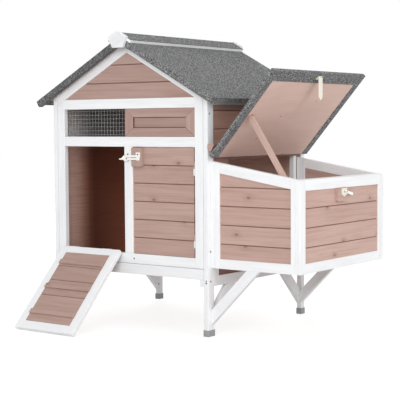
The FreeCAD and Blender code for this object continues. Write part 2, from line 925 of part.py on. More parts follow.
def door_planks():
    """Planks of the door, a little behind the frame's face."""
    wall = plank_wall("x", door_left, door_right, door_low, door_high, plank_recess, 1,
                      joint_heights(front_joint, door_low, door_high))
    return group(wall)


def door_battens():
    """Two battens that join the door's planks on the inside."""
    face = plank_recess + plank_thick
    battens = []
    for low in door_batten_lows:
        battens.append(block(door_left + door_batten_inset, door_right - door_batten_inset,
                             face, face + door_batten_thick, low, low + stick_width))
    return group(battens)


def door_hinge_leaves():
    """Moving leaves on the door's right edge."""
    leaf = butt_leaf(door_hinge_width, moving_leaf)
    leaves = [set_in(leaf, Vector(door_pivot_x, door_pivot_y, place), Vector(0, 0, -1), Vector(0, 1, 0))
              for place in door_hinge_places]
    return group(leaves)


def door_latch_block():
    """Block on the door's planks that brings the hasp out to the frame's face."""
    pad = block(block_left, block_right, block_front, plank_recess, block_low, block_high)
    corners = [edge for edge in pad.Edges
               if edge.BoundBox.ZMax < block_low + 0.1 and edge.BoundBox.YLength > plank_recess]
    return pad.makeFillet(block_corner, corners)


def door_latch_plate():
    """Plate on the door's block: a strap towards the centre stile, a tab, and the bar's rivet."""
    tab_left = latch_pivot_x - tab_half
    tab_right = latch_pivot_x + tab_half
    outline = [(strap_left, strap_low), (tab_left, strap_low), (tab_left, tab_low), (tab_right, tab_low),
               (tab_right, strap_low), (latch_plate_right, strap_low), (latch_plate_right, latch_plate_top),
               (latch_plate_left, latch_plate_top), (latch_plate_left, strap_high), (strap_left, strap_high)]
    plate = extrude(outline, "y", latch_plate_face, block_front)
    pin = set_in(rivet(0, latch_plate_face - latch_bar_face),
                 Vector(latch_pivot_x, latch_plate_face, latch_pivot_z), Vector(1, 0, 0), Vector(0, 0, 1))
    return fuse([plate, pin])


def door_latch_bar():
    """Bar that turns on the door's plate and reaches across the centre stile to a horn."""
    low = latch_pivot_z - latch_bar_half
    high = latch_pivot_z + latch_bar_half
    points = [Vector(latch_bar_end, 0, high), Vector(horn_start, 0, high),
              Vector(horn_right, 0, horn_top), Vector(horn_left, 0, horn_top)]
    tip = [Vector(bar_tip, 0, latch_pivot_z + bar_tip_half), Vector(bar_tip, 0, latch_pivot_z - bar_tip_half),
           Vector(bar_tip + bar_tip_bevel, 0, low), Vector(latch_bar_end, 0, low), points[0]]
    waist = Vector(horn_waist, 0, latch_pivot_z + horn_waist_rise)
    edges = [Part.makeLine(a, b) for a, b in zip(points[:-1], points[1:])]
    edges.append(Part.Arc(points[-1], waist, tip[0]).toShape())
    edges += [Part.makeLine(a, b) for a, b in zip(tip[:-1], tip[1:])]
    bar = Part.Face(Part.Wire(edges)).extrude(Vector(0, latch_bar_thick, 0))
    bar.translate(Vector(0, latch_bar_face, 0))
    hole = Part.makeCylinder(rivet_radius + running_play, latch_bar_thick + 2,
                             Vector(latch_pivot_x, latch_bar_face - 1, latch_pivot_z), Vector(0, 1, 0))
    return bar.cut(hole)


def stile_catch_plate():
    """Catch on the centre stile: a plate with a ledge that the bar lies over."""
    plate = block(stile_catch_left, stile_catch_right, -latch_plate_thick, 0,
                  stile_catch_low, stile_catch_high)
    ledge = block(ledge_left, ledge_right, latch_bar_face - 1, -latch_plate_thick,
                  stile_catch_low, ledge_top)
    return group([plate, ledge])


# Shutter, tray


def shutter_frame():
    """Mitred frame of the sliding shutter, with a tongue along its top and bottom edges."""
    low = mid_rail_high + slide_play
    high = upper_rail_low - slide_play
    left = shutter_left
    right = shutter_right
    inner_left = left + shutter_stile
    inner_right = right - shutter_stile
    inner_low = low + shutter_rail
    inner_high = high - shutter_rail
    front = shutter_front
    back = front + shutter_thick
    sides = [[(left, low), (inner_left, inner_low), (inner_left, inner_high), (left, high)],
             [(right, low), (right, high), (inner_right, inner_high), (inner_right, inner_low)],
             [(left, low), (right, low), (inner_right, inner_low), (inner_left, inner_low)],
             [(left, high), (inner_left, inner_high), (inner_right, inner_high), (right, high)]]
    sticks = [extrude(outline, "y", front, back) for outline in sides]
    tongue_y = front + (shutter_thick - slide_tongue) / 2
    reach = slide_groove - 1.0
    lower = block(left, right, tongue_y, tongue_y + slide_tongue, low - reach, low)
    upper = block(left, right, tongue_y, tongue_y + slide_tongue, high, high + reach)
    return group([sticks[0], sticks[1], fuse([sticks[2], lower]), fuse([sticks[3], upper])])


def shutter_panel():
    """Board in the shutter's frame."""
    low = mid_rail_high + slide_play + shutter_rail
    high = upper_rail_low - slide_play - shutter_rail
    return block(shutter_left + shutter_stile, shutter_right - shutter_stile, shutter_front + 3.5,
                 shutter_front + shutter_thick - 1, low, high)


def tray_front():
    """Front board of the tray, flush with the frame above it."""
    return block(-frame_side, frame_side, 0, tray_front_thick, tray_low, tray_high)


def tray_pan():
    """The tray's bottom and its three low sides, which are the floor of the house."""
    half = frame_side - 1
    front = tray_front_thick
    low = tray_low + tray_floor_thick
    pieces = [block(-half, half, front, tray_back, tray_low, low)]
    pieces += both_sides(block(half - tray_rim_thick, half, front, tray_back, low, tray_rim_high))
    pieces.append(block(-half + tray_rim_thick, half - tray_rim_thick, tray_back - tray_rim_thick,
                        tray_back, low, tray_rim_high))
    return group(pieces)


def tray_runners():
    """Ledges on the side panels that the tray slides on."""
    return group(both_sides(block(inner_face - stick_thick, inner_face, 2, house_depth - 2,
                                  runner_low, tray_low)))


# Nest latch and prop stick


def nest_latch_block():
    """Pad on the end wall's planks under the catch, with rounded lower corners."""
    pad = block(nest_right - plank_recess, nest_right + nest_block_thick,
                nest_block_left, nest_block_right, nest_block_low, nest_block_high)
    corners = [edge for edge in pad.Edges
               if edge.BoundBox.ZMax < nest_block_low + 0.1 and edge.BoundBox.XLength > nest_block_thick]
    return pad.makeFillet(nest_block_corner, corners)


def nest_catch_plate():
    """Catch plate with a pointed foot on the nest box's pad, and the lever's rivet."""
    top = nest_block_high - 0.5
    middle = (catch_plate_left + catch_plate_right) / 2
    outline = [(catch_plate_left, catch_plate_shoulder), (middle, catch_plate_point),
               (catch_plate_right, catch_plate_shoulder), (catch_plate_right, top), (catch_plate_left, top)]
    face = nest_right + nest_block_thick
    plate = extrude(outline, "x", face, face + catch_plate_thick)
    pin = set_in(rivet(0, lever_thick + rivet_play), Vector(face + catch_plate_thick, catch_y, catch_z),
                 Vector(0, 1, 0), Vector(0, 0, 1))
    return fuse([plate, pin])


def nest_catch_lever():
    """Lever on the nest box's catch, its arm hanging a little."""
    droop = math.radians(lever_droop)
    origin = Vector(nest_right + nest_block_thick + catch_plate_thick + rivet_play, catch_y, catch_z)
    return set_in(lever(), origin, Vector(0, math.cos(droop), -math.sin(droop)),
                  Vector(0, math.sin(droop), math.cos(droop)))


def hasp_pivot():
    """Middle of the hasp's pin under the open lid's free edge."""
    return on_lid(Part.Vertex(Vector(tongue_along_lid, tongue_y, lid_under - latch_seat))).BoundBox.Center


def lid_hasp_plate():
    """Plate of the lid's hasp, under the lid's free edge."""
    origin = Vector(tongue_along_lid, tongue_y, lid_under - latch_seat)
    return on_lid(set_in(hasp_plate(hasp_plate_width), origin,
                         Vector(0, -1, 0), Vector(-1, 0, 0)))


def lid_hasp_tongue():
    """Tongue of the lid's hasp, hanging straight down."""
    return set_in(hasp_tongue(tongue_length), hasp_pivot(), Vector(0, 1, 0), Vector(0, 0, -1))


def prop_pivot():
    """Axis of the prop stick, a point under the open lid."""
    flat = Vector(prop_along_lid, 0, lid_under - prop_pivot_drop)
    return on_lid(Part.Vertex(flat)).BoundBox.Center


def prop_bracket():
    """Ear under the lid behind the prop stick, with the bolt that the stick turns on."""
    root = lid_under + felt_thick
    foot = lid_under - prop_pivot_drop - prop_ear_foot
    back = prop_front + prop_thick + prop_ear_gap
    outline = [(prop_along_lid - prop_ear_half, root), (prop_along_lid + prop_ear_half, root),
               (prop_along_lid + prop_ear_foot, foot), (prop_along_lid - prop_ear_foot, foot)]
    ear = on_lid(extrude(outline, "y", back, back + prop_ear_thick))
    pivot = prop_pivot()
    start = prop_front - rivet_play - prop_bolt_head_thick
    shank = Part.makeCylinder(prop_bolt, back - start + 1, Vector(pivot.x, start, pivot.z), Vector(0, 1, 0))
    head = Part.makeCylinder(prop_bolt_head, prop_bolt_head_thick, Vector(pivot.x, start, pivot.z),
                             Vector(0, 1, 0))
    return fuse([ear, shank, head])


def prop_stick():
    """Stick from the lid's underside down into the nest box, leaning outwards, its head rounded."""
    half = prop_width / 2
    stick = block(-half, half, prop_front, prop_front + prop_thick, -prop_reach, 0)
    head = Part.makeCylinder(half, prop_thick, Vector(0, prop_front, 0), Vector(0, 1, 0))
    hole = Part.makeCylinder(prop_bolt + running_play, prop_thick + 2, Vector(0, prop_front - 1, 0),
                             Vector(0, 1, 0))
    stick = fuse([stick, head]).cut(hole)
    pivot = prop_pivot()
    stick.Placement = Placement(Vector(pivot.x, 0, pivot.z), Rotation(Vector(0, 1, 0), -prop_lean))
    return stick


def build():
    """Every node of the duck house, by name."""
    roof_right = roof_deck()
    felt_right = roof_felt()
    felt_base = deck_thick + felt_thick
    cap_top = felt_base + cap_board_thick
    nodes = {
        "house_legs": legs(),
        "foot_caps": foot_caps(),
        "side_wall_rails": side_wall_rails(),
        "left_wall_planks": group([mirror_x(plank) for plank in side_planks()]),
        "right_wall_planks": right_wall_planks(),
        "passage_frame": passage_frame(),
        "front_stiles": group(outer_stiles(0, stick_thick)),
        "front_rails": front_rails(),
        "front_centre_stile": block(centre_stile_left, centre_stile_right, 0, stick_thick,
                                    sill_high, mid_rail_low),
        "front_gable_planks": group(gable_planks(plank_recess, 1)),
        "gable_rakes": group(both_sides(rake(0, stick_thick))
                             + both_sides(rake(house_depth - stick_thick, house_depth))),
        "window_mesh": window_mesh(),
        "window_board": window_board(),
        "rear_frame": rear_frame(),
        "rear_planks": rear_planks(),
        "roof_deck_right": roof_right,
        "roof_deck_left": mirror_x(roof_right),
        "roof_felt_right": felt_right,
        "roof_felt_left": mirror_x(felt_right),
        "roof_edge_battens": roof_edge_battens(),
        "ridge_cap_boards": group(cap_layer(felt_base, cap_top)),
        "ridge_cap_felt": fuse(cap_layer(cap_top, cap_top + felt_thick)),
        "ridge_cap_end_blocks": ridge_cap_end_blocks(),
        "tray_runners": tray_runners(),
        "leg_braces": leg_braces(),
        "nest_braces": nest_braces(),
        "nest_frame": nest_frame(),
        "nest_side_planks": nest_side_planks(),
        "nest_end_planks": nest_end_planks(),
        "nest_floor": nest_floor(),
        "hinge_batten": hinge_batten(),
        "fixed_hinge_leaves": fixed_hinge_leaves(),
        "stile_catch_plate": stile_catch_plate(),
        "nest_latch_block": nest_latch_block(),
        "nest_catch_plate": nest_catch_plate(),
        "ramp_frame": ramp_frame(),
        "ramp_planks": ramp_planks(),
        "ramp_cleats": ramp_cleat_bars(),
        "ramp_hinge_leaves": ramp_hinge_leaves(),
        "door_planks": door_planks(),
        "door_battens": door_battens(),
        "door_latch_block": door_latch_block(),
        "door_latch_plate": door_latch_plate(),
        "door_hinge_leaves": door_hinge_leaves(),
        "door_latch_bar": door_latch_bar(),
        "shutter_frame": shutter_frame(),
        "shutter_panel": shutter_panel(),
        "tray_front": tray_front(),
        "tray_pan": tray_pan(),
        "lid_board": on_lid(lid_board()),
        "lid_felt": lid_felt(),
        "lid_hinge_leaves": lid_hinge_leaves(),
        "lid_hasp_plate": lid_hasp_plate(),
        "prop_bracket": prop_bracket(),
        "lid_hasp_tongue": lid_hasp_tongue(),
        "prop_stick": prop_stick(),
        "nest_catch_lever": nest_catch_lever(),
    }
    return nodes


def main():
    """Move the model so that its origin is the middle of its footprint, and write each node."""
    nodes = build()
    box = Part.makeCompound(list(nodes.values())).BoundBox
    shift = Vector(-box.Center.x, -box.Center.y, -box.ZMin)
    print("origin shift", round(shift.x, 4), round(shift.y, 4), round(shift.z, 4))
    print("size", round(box.XLength, 2), round(box.YLength, 2), round(box.ZLength, 2))
    print("ramp slope", round(ramp_slope, 4))
    pivot = prop_pivot()
    print("prop pivot", round(pivot.x, 4), round(pivot.z, 4))
    tongue = hasp_pivot()
    print("tongue pivot", round(tongue.x, 4), round(tongue.z, 4))
    os.makedirs("parts", exist_ok=True)
    for name, shape in nodes.items():
        shape.translate(shift)
        if not shape.isValid():
            print("not valid:", name)
        shape.exportStep("parts/" + name + ".step")


main()
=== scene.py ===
import json
import math
import random

import bmesh
import bpy
from mathutils import Matrix, Vector


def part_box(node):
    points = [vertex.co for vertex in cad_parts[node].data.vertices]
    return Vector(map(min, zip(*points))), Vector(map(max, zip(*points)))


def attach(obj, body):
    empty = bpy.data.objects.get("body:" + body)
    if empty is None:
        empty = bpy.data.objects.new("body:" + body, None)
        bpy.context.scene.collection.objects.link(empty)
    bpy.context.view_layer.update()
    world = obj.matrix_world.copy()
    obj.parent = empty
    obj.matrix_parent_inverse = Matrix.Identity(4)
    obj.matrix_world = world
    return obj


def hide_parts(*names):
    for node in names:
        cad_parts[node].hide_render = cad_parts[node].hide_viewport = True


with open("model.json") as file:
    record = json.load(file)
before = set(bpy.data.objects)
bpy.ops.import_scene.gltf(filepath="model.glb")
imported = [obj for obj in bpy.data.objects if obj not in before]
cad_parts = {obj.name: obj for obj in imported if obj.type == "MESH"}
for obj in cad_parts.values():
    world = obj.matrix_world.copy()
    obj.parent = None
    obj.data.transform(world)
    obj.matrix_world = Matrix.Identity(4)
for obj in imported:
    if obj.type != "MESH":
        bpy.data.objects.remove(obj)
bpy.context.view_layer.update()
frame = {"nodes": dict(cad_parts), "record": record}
nodes = frame["nodes"]
random.seed(7)

# The model frame of the measurements below: millimetres, front frame's face Y = 0, middle of the
# house X = 0, ground Z = 0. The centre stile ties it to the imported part's own frame.
stile_low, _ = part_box("front_centre_stile")
origin = stile_low - Vector((-0.011, 0.0, 0.226))


def place(x, y, z):
    """A point of the model frame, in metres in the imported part's frame."""
    return origin + Vector((x, y, z)) / 1000


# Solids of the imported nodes

flat_angle = math.radians(0.6)
corner_angle = math.radians(5)
sharp_angle = math.radians(30)
same_level = 1e-5
grain_spread = 4


def corner_key(mesh, index):
    """A vertex's place, the same for all vertices of one corner."""
    return tuple(round(value, 6) for value in mesh.vertices[index].co)


def solids_of(mesh):
    """Indices of the faces of each closed solid of a mesh, whose faces come solid by solid."""
    found, faces, unmatched = [], [], set()
    for polygon in mesh.polygons:
        corners = [corner_key(mesh, index) for index in polygon.vertices]
        faces.append(polygon.index)
        for first, second in zip(corners, corners[1:] + corners[:1]):
            if (second, first) in unmatched:
                unmatched.remove((second, first))
            else:
                unmatched.add((first, second))
        if not unmatched:
            found.append(faces)
            faces = []
    if faces:
        found.append(faces)
    return found


def welded(mesh, faces):
    """One solid with its split corners joined and its flat faces whole."""
    shape = bmesh.new()
    corners = {}
    for index in faces:
        loop = []
        for vertex in mesh.polygons[index].vertices:
            key = corner_key(mesh, vertex)
            if key not in corners:
                corners[key] = shape.verts.new(key)
            if corners[key] not in loop:
                loop.append(corners[key])
        if len(loop) > 2 and shape.faces.get(loop) is None:
            shape.faces.new(loop)
    shape.normal_update()
    bmesh.ops.dissolve_limit(shape, angle_limit=flat_angle, verts=shape.verts, edges=shape.edges)
    shape.normal_update()
    return shape


class Solid:
    """What a stick, plank or plate says about itself: its length, its broad side and its middle."""

    def __init__(self, shape):
        corners = [edge for edge in shape.edges if edge.calc_face_angle(0.0) > corner_angle]
        longest = max(corners or shape.edges, key=lambda edge: edge.calc_length())
        self.along = (longest.verts[1].co - longest.verts[0].co).normalized()
        broad = max(shape.faces, key=lambda face: face.calc_area())
        self.normal = broad.normal.copy()
        self.across = self.normal.cross(self.along).normalized()
        self.face_middle = broad.calc_center_median_weighted()
        reach = [vertex.co.dot(self.along) for vertex in shape.verts]
        self.start, self.end = min(reach), max(reach)
        depths = [vertex.co.dot(self.normal) for vertex in shape.verts]
        self.back, self.front = min(depths), max(depths)
        self.middle = sum((vertex.co for vertex in shape.verts), Vector()) / len(shape.verts)
        self.own = random.random()
        self.shift = Vector((random.random(), random.random(), random.random())) * grain_spread

    def grain(self, point):
        """Coordinates along, across and through the solid, moved so that no two solids look the same."""
        local = Vector((point.dot(self.along), point.dot(self.across), point.dot(self.normal)))
        return local + self.shift

    def seam(self, point):
        """0 on the broad sides and 1 off them: down in the chamfers between planks, and on a stick's
        sides and eased edges, where the shutter frame gets painted recess shade.
        """
        depth = point.dot(self.normal)
        return 0.0 if min(abs(depth - self.back), abs(depth - self.front)) < same_level else 1.0

    def inner(self, point, middle):
        """1 on the broad side that faces the house's middle."""
        faces_in = self.normal.dot(middle - self.middle) > 0
        depth = point.dot(self.normal)
        level = self.front if faces_in else self.back
        return 1.0 if abs(depth - level) < same_level else 0.0


def write_attributes(mesh, values):
    """Point attributes of a mesh from {name: list}."""
    for name, listed in values.items():
        kind = "FLOAT_VECTOR" if name == "grain" else "FLOAT"
        attribute = mesh.attributes.new(name, kind, "POINT")
        if kind == "FLOAT":
            attribute.data.foreach_set("value", listed)
        else:
            attribute.data.foreach_set("vector", [value for vector in listed for value in vector])


# Pieces: planks and plates keep the imported mesh, sticks get one with eased edges. The widths of the
# eased edges and of the shutter panel's rim of painted shade are in millimetres, shortest_eased is in
# metres.

house_middle = place(0, 263, 500)
planks = {"left_wall_planks", "right_wall_planks", "front_gable_planks", "window_board",
          "rear_planks", "nest_side_planks", "nest_end_planks", "door_planks", "ramp_planks"}
# planks whose inner side gets painted light and shade
inner_shade_planks = {"left_wall_planks", "right_wall_planks", "rear_planks"}
shortest_eased = 0.006
panel_rim = 5.5
eased = {"house_legs": 1.2, "side_wall_rails": 1.0, "passage_frame": 1.0, "front_stiles": 1.2,
         "front_rails": 1.2, "front_centre_stile": 1.2, "gable_rakes": 1.2, "rear_frame": 1.0,
         "roof_deck_left": 0.8, "roof_deck_right": 0.8, "roof_edge_battens": 1.0,
         "ridge_cap_boards": 1.2, "ridge_cap_end_blocks": 1.5, "tray_runners": 1.0,
         "leg_braces": 1.0, "nest_braces": 1.0, "nest_frame": 1.2, "nest_floor": 0.8,
         "hinge_batten": 1.0, "ramp_frame": 1.2, "ramp_cleats": 0.8, "door_battens": 1.0,
         "door_latch_block": 1.0, "nest_latch_block": 1.0, "shutter_frame": 0.6,
         "shutter_panel": 0.4, "tray_front": 1.2, "tray_pan": 0.6, "lid_board": 0.8,
         "prop_bracket": 0.6, "prop_stick": 1.0, "foot_caps": 1.0}


def ease_edges(shape, width):
    """Rounds the long outer edges of a solid."""
    sharp = [edge for edge in shape.edges
             if len(edge.link_faces) == 2 and edge.calc_length() > shortest_eased
             and edge.calc_face_angle_signed(0.0) > sharp_angle]
    if sharp:
        bmesh.ops.bevel(shape, geom=sharp, offset=width / 1000, offset_type="OFFSET", segments=2,
                        profile=0.5, affect="EDGES", clamp_overlap=True)


def paint_rim_shade(shape, width):
    """Insets the broad faces of a board. Returns 1 for the vertices of its rim, which is darker: painted
    shade where the board sits recessed in its frame.
    """
    broad = max(face.calc_area() for face in shape.faces)
    wide = [face for face in shape.faces if face.calc_area() > 0.9 * broad]
    bmesh.ops.inset_individual(shape, faces=wide, thickness=width / 1000)
    field = {vertex for face in wide for vertex in face.verts}
    return [0.0 if vertex in field else 1.0 for vertex in shape.verts]


def read_body(name):
    """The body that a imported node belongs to."""
    bodies = frame["record"]["behaviour"]["bodies"]
    return next(body for body, held in bodies.items() if name in held)


def dress_node(name, node):
    """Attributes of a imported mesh, solid by solid. Returns its solids."""
    mesh = node.data
    count = len(mesh.vertices)
    values = {"grain": [Vector()] * count, "own": [0.0] * count, "seam": [0.0] * count,
              "inner": [0.0] * count}
    listed = []
    for faces in solids_of(mesh):
        shape = welded(mesh, faces)
        solid = Solid(shape)
        shape.free()
        listed.append(solid)
        for vertex in {index for face in faces for index in mesh.polygons[face].vertices}:
            point = mesh.vertices[vertex].co
            values["grain"][vertex] = solid.grain(point)
            values["own"][vertex] = solid.own
            if name in planks:
                values["seam"][vertex] = solid.seam(point)
            if name in inner_shade_planks:
                values["inner"][vertex] = solid.inner(point, house_middle)
    write_attributes(mesh, values)
    return listed


def add_object(name, data):
    """A new object in the scene."""
    made = bpy.data.objects.new(name, data)
    bpy.context.scene.collection.objects.link(made)
    return made


def ease_node(name, node):
    """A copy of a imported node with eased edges, which stands for it. Returns it and its solids."""
    points, faces, listed = [], [], []
    values = {"grain": [], "own": [], "seam": [], "inner": []}
    for indices in solids_of(node.data):
        shape = welded(node.data, indices)
        solid = Solid(shape)
        listed.append(solid)
        ease_edges(shape, eased[name])
        # the shutter panel's rim is painted shade, where the panel sits recessed in its frame
        rim = paint_rim_shade(shape, panel_rim) if name == "shutter_panel" else None
        start = len(points)
        shape.verts.index_update()
        for vertex in shape.verts:
            points.append(vertex.co.copy())
            values["grain"].append(solid.grain(vertex.co))
            values["own"].append(solid.own)
            # the shutter frame's mitres and sides are darkened: dark mitres, and painted shade on the
            # sides in the recess
            values["seam"].append(solid.seam(vertex.co) if name == "shutter_frame" else 0.0)
            values["inner"].append(0.0)
        if rim:
            values["seam"][start:] = rim
        faces += [[start + vertex.index for vertex in face.verts] for face in shape.faces]
        shape.free()
    mesh = bpy.data.meshes.new(name + "_eased")
    mesh.from_pydata(points, [], faces)
    write_attributes(mesh, values)
    piece = add_object(name + "_eased", mesh)
    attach(piece, read_body(name))
    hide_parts(name)
    return piece, listed


# Materials


def new_material(name):
    """An empty node material with its output."""
    made = bpy.data.materials.new(name)
    made.use_nodes = True
    tree = made.node_tree
    tree.nodes.clear()
    output = tree.nodes.new("ShaderNodeOutputMaterial")
    return made, tree, output


def srgb(red, green, blue):
    """Linear colour of an sRGB colour given in 0 to 255."""
    linear = []
    for value in (red, green, blue):
        value /= 255
        linear.append(value / 12.92 if value <= 0.04045 else ((value + 0.055) / 1.055) ** 2.4)
    return (*linear, 1.0)


def grey(value):
    """A linear grey."""
    return (value, value, value, 1.0)


class Shade:
    """Shorthand for the nodes of one material."""

    def __init__(self, name, roughness, metallic=0.0):
        self.material, self.tree, output = new_material(name)
        self.shader = self.node("ShaderNodeBsdfPrincipled")
        self.shader.inputs["Roughness"].default_value = roughness
        self.shader.inputs["Metallic"].default_value = metallic
        self.link(self.shader.outputs["BSDF"], output.inputs["Surface"])

    def node(self, kind, **settings):
        made = self.tree.nodes.new(kind)
        for key, value in settings.items():
            setattr(made, key, value)
        return made

    def link(self, out, into):
        self.tree.links.new(out, into)

    def put(self, value, into):
        """A link, or a plain value, into a socket."""
        if isinstance(value, bpy.types.NodeSocket):
            self.link(value, into)
        else:
            into.default_value = value

    def attribute(self, name, output="Fac"):
        return self.node("ShaderNodeAttribute", attribute_name=name).outputs[output]

    def math(self, operation, first, second=0.0):
        made = self.node("ShaderNodeMath", operation=operation)
        self.put(first, made.inputs[0])
        self.put(second, made.inputs[1])
        return made.outputs["Value"]

    def place(self):
        """Coordinates of the part, in metres."""
        return self.node("ShaderNodeTexCoord").outputs["Object"]

    def between(self, axis, start, end):
        """Smooth change from 0 to 1 along an axis of the part, in metres."""
        split = self.node("ShaderNodeSeparateXYZ")
        self.link(self.place(), split.inputs[0])
        return self.step(split.outputs[axis], start, end)

    def grain(self):
        """Coordinates along, across and through each solid, in metres."""
        return self.attribute("grain", "Vector")

    def scaled(self, vector, scale):
        made = self.node("ShaderNodeMapping")
        made.inputs["Scale"].default_value = scale
        self.link(vector, made.inputs["Vector"])
        return made.outputs["Vector"]

    def noise(self, vector, size, detail=3.0, rough=0.6, distortion=0.0):
        made = self.node("ShaderNodeTexNoise")
        made.inputs["Scale"].default_value = size
        made.inputs["Detail"].default_value = detail
        made.inputs["Roughness"].default_value = rough
        made.inputs["Distortion"].default_value = distortion
        self.link(vector, made.inputs["Vector"])
        return made.outputs["Fac"]

    def cells(self, vector, size, dimensions="3D"):
        made = self.node("ShaderNodeTexVoronoi", voronoi_dimensions=dimensions)
        made.inputs["Scale"].default_value = size
        self.link(vector, made.inputs["Vector"])
        return made

    def step(self, value, start, end, low=0.0, high=1.0):
        """Smooth change from low to high as the value goes from start to end."""
        made = self.node("ShaderNodeMapRange", interpolation_type="SMOOTHSTEP")
        for name, number in (("From Min", start), ("From Max", end), ("To Min", low), ("To Max", high)):
            made.inputs[name].default_value = number
        self.link(value, made.inputs["Value"])
        return made.outputs["Result"]

    def ramp(self, factor, stops):
        """Colours along a factor."""
        made = self.node("ShaderNodeValToRGB")
        elements = made.color_ramp.elements
        while len(elements) < len(stops):
            elements.new(0.5)
        for element, (position, colour) in zip(elements, stops):
            element.position = position
            element.color = colour
        self.link(factor, made.inputs["Fac"])
        return made.outputs["Color"]

    def mix(self, factor, first, second, kind="MIX"):
        """Two colours by a factor, or their product with kind MULTIPLY."""
        made = self.node("ShaderNodeMix", data_type="RGBA", blend_type=kind)
        for value, socket in ((factor, "Factor"), (first, "A"), (second, "B")):
            self.put(value, next(one for one in made.inputs if one.name == socket and one.enabled))
        return next(one for one in made.outputs if one.enabled)

    def colour(self, value):
        self.link(value, self.shader.inputs["Base Color"])

    def rough(self, value):
        self.link(value, self.shader.inputs["Roughness"])

    def bump(self, height, distance, strength=1.0):
        """Relief in metres."""
        made = self.node("ShaderNodeBump")
        made.inputs["Distance"].default_value = distance
        made.inputs["Strength"].default_value = strength
        self.link(height, made.inputs["Height"])
        self.link(made.outputs["Normal"], self.shader.inputs["Normal"])


def scale_colour(colour, factor):
    """A colour, lighter or darker by a factor."""
    return tuple(value * factor for value in colour[:3]) + (1.0,)


stain, stain_dark, stain_light = srgb(196, 165, 154), srgb(186, 154, 142), srgb(200.5, 170.5, 160.5)
knot_ring, knot_heart, joint_and_shade_brown = srgb(150, 112, 98), srgb(112, 76, 62), srgb(96, 52, 40)
# painted light and shade on the inner side behind the window mesh: pale grey at the front, darker
# further back
grey_behind_mesh = [(0.04, srgb(236, 236, 235)), (0.12, srgb(176, 175, 174)),
                    (0.24, srgb(122, 121, 120)), (1.0, srgb(156, 155, 154))]


def stained_wood(name, tone, inner_shade=None, painted_shade_tints=None):
    """Brown stained softwood: grain and knots of its own on each plank, dark in the joints, and painted
    shade along the shutter's recess.

    inside has the stops of the inner side's painted light and shade from front to back, darker away from
    the doorway, and weather the tints of painted shade below and above the nest box's lid.
    """
    shade = Shade(name, 0.6)
    grain = shade.grain()
    own = shade.attribute("own")
    bent = shade.node("ShaderNodeVectorMath", operation="ADD")
    wave = shade.node("ShaderNodeTexNoise")
    wave.inputs["Scale"].default_value = 9.0
    shade.link(grain, wave.inputs["Vector"])
    drift = shade.node("ShaderNodeVectorMath", operation="SCALE")
    drift.inputs["Scale"].default_value = 0.003
    shade.link(wave.outputs["Color"], drift.inputs[0])
    shade.link(grain, bent.inputs[0])
    shade.link(drift.outputs["Vector"], bent.inputs[1])
    bent = bent.outputs["Vector"]
    broad = shade.noise(shade.scaled(bent, (0.05, 1.0, 1.0)), 80.0, 4.0, 0.6)
    fine = shade.noise(shade.scaled(bent, (0.03, 1.0, 1.0)), 330.0, 3.0, 0.6)
    toned = shade.ramp(broad, [(0.32, scale_colour(stain_dark, tone)), (0.50, scale_colour(stain, tone)),
                               (0.68, scale_colour(stain_light, tone))])
    lines = shade.ramp(fine, [(0.34, srgb(236, 226, 223)), (0.52, grey(1.0))])
    toned = shade.mix(0.45, toned, lines, "MULTIPLY")
    plank = shade.ramp(own, [(0.0, srgb(243, 239, 238)), (1.0, grey(1.0))])
    toned = shade.mix(1.0, toned, plank, "MULTIPLY")
    # knots: a few to a plank, longer along the grain, with a darker heart and a soft ring
    spots = shade.cells(shade.scaled(grain, (0.60, 1.0, 1.0)), 11.0, "2D")
    distance = spots.outputs["Distance"]
    there = shade.step(spots.outputs["Color"], 0.52, 0.54)
    heart = shade.math("MULTIPLY", shade.step(distance, 0.022, 0.062, 0.58, 0.0), there)
    ring = shade.math("MULTIPLY", shade.step(distance, 0.05, 0.20, 0.24, 0.0), there)
    toned = shade.mix(ring, toned, scale_colour(knot_ring, tone))
    toned = shade.mix(heart, toned, scale_colour(knot_heart, tone))
    # painted shade: much darker below the nest box's lid, and redder above it, in the shade under the
    # roof
    if painted_shade_tints:
        above = shade.between("Z", place(0, 0, 505).z, place(0, 0, 530).z)
        toned = shade.mix(1.0, toned, shade.mix(above, *painted_shade_tints), "MULTIPLY")
    if inner_shade:
        # painted shade, darker away from the doorway, and up behind the mesh painted light and shade in
        # grey, pale near the front
        back = shade.between("Y", place(0, 0, 0).y, place(0, 500, 0).y)
        above = shade.between("Z", place(0, 0, 552).z, place(0, 0, 566).z)
        within = shade.mix(above, shade.ramp(back, inner_shade), shade.ramp(back, grey_behind_mesh))
        within = shade.mix(1.0, within, lines, "MULTIPLY")
        toned = shade.mix(shade.attribute("inner"), toned, within)
    # dark in the chamfers between planks and at the shutter's mitres; on the shutter's sides and rim the
    # same dark brown is painted shade in the recess
    joint_and_shade = shade.step(shade.attribute("seam"), 0.50, 0.86)
    toned = shade.mix(joint_and_shade, toned, joint_and_shade_brown)
    shade.colour(toned)
    shade.bump(fine, 0.0004, 0.6)
    return shade.material


def white_stain(name, tone=1.0):
    """Opaque white stain on planed sticks: a faint grain shows through it."""
    shade = Shade(name, 0.48)
    grain = shade.grain()
    broad = shade.noise(shade.scaled(grain, (0.08, 1.0, 1.0)), 60.0, 4.0, 0.6)
    fine = shade.noise(shade.scaled(grain, (0.03, 1.0, 1.0)), 420.0, 3.0, 0.6)
    toned = shade.ramp(broad, [(0.30, srgb(231, 232, 234)), (0.60, srgb(239, 240, 241))])
    lines = shade.ramp(fine, [(0.32, grey(0.955)), (0.50, grey(1.0))])
    toned = shade.mix(1.0, toned, lines, "MULTIPLY")
    own = shade.ramp(shade.attribute("own"), [(0.0, grey(0.975 * tone)), (1.0, grey(tone))])
    shade.colour(shade.mix(1.0, toned, own, "MULTIPLY"))
    shade.bump(fine, 0.00025, 0.5)
    return shade.material


